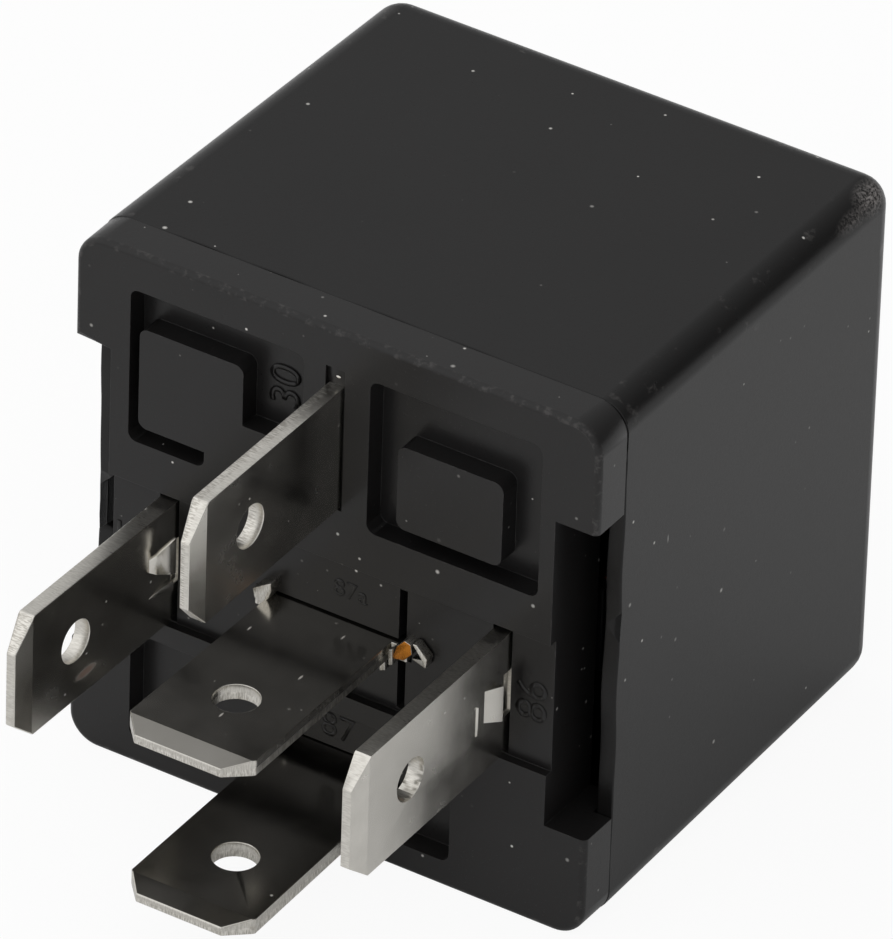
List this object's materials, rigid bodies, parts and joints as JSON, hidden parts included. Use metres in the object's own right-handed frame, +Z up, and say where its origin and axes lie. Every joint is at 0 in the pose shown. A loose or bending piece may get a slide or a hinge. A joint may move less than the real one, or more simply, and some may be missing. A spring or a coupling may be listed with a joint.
{
  "type": "automotive relay",
  "caption": "changeover automotive relay in a black moulded case lying on its side, with flat blade terminals facing forwards",
  "frame": {"origin": "under the middle of the whole relay, blades included, on the plane it rests on", "axes": "+X runs across the terminal face from the left coil blade to the right one, +Y from the blades to the closed end of the case, +Z up from the side it rests on"},
  "size_m": [0.027, 0.0366, 0.027],
  "materials": {
    "cover_plastic": "moulded, fine matt grain",
    "base_plastic": "moulded, semi matt",
    "tinned_brass": "tin plated stamped brass, sheared edges",
    "plated_iron": "dull zinc plated soft iron",
    "bobbin_plastic": "moulded, glass filled",
    "copper_wire": "enamelled copper wire",
    "spring_bronze": "rolled spring bronze",
    "contact_silver": "silver alloy, slightly tarnished",
    "rivet_steel": "plated steel"
  },
  "bodies": {
    "case": {"cover": "cover_plastic", "base": "base_plastic", "terminal_30": "tinned_brass", "terminal_85": "tinned_brass", "terminal_86": "tinned_brass", "terminal_87": "tinned_brass", "terminal_87a": "tinned_brass", "yoke": "plated_iron", "core": "plated_iron", "bobbin": "bobbin_plastic", "coil_winding": "copper_wire", "coil_lead_85": "copper_wire", "coil_lead_86": "copper_wire", "contact_spring": "spring_bronze", "fixed_contact_no": "contact_silver", "fixed_contact_nc": "contact_silver", "yoke_rivets": "rivet_steel"},
    "armature": {"armature": "plated_iron", "moving_contact": "contact_silver", "armature_rivets": "rivet_steel"}
  },
  "joints": [
    {"name": "armature_hinge", "type": "hinge", "parent": "case", "child": "armature", "pos_m": [0, 0.01186, 0.0218], "axis": [-1, 0, 0], "range_deg": [0, 2.2], "stiffness_Nm_per_rad": 0.03, "springref_deg": -11.46, "deforming": ["contact_spring"]}
  ]
}
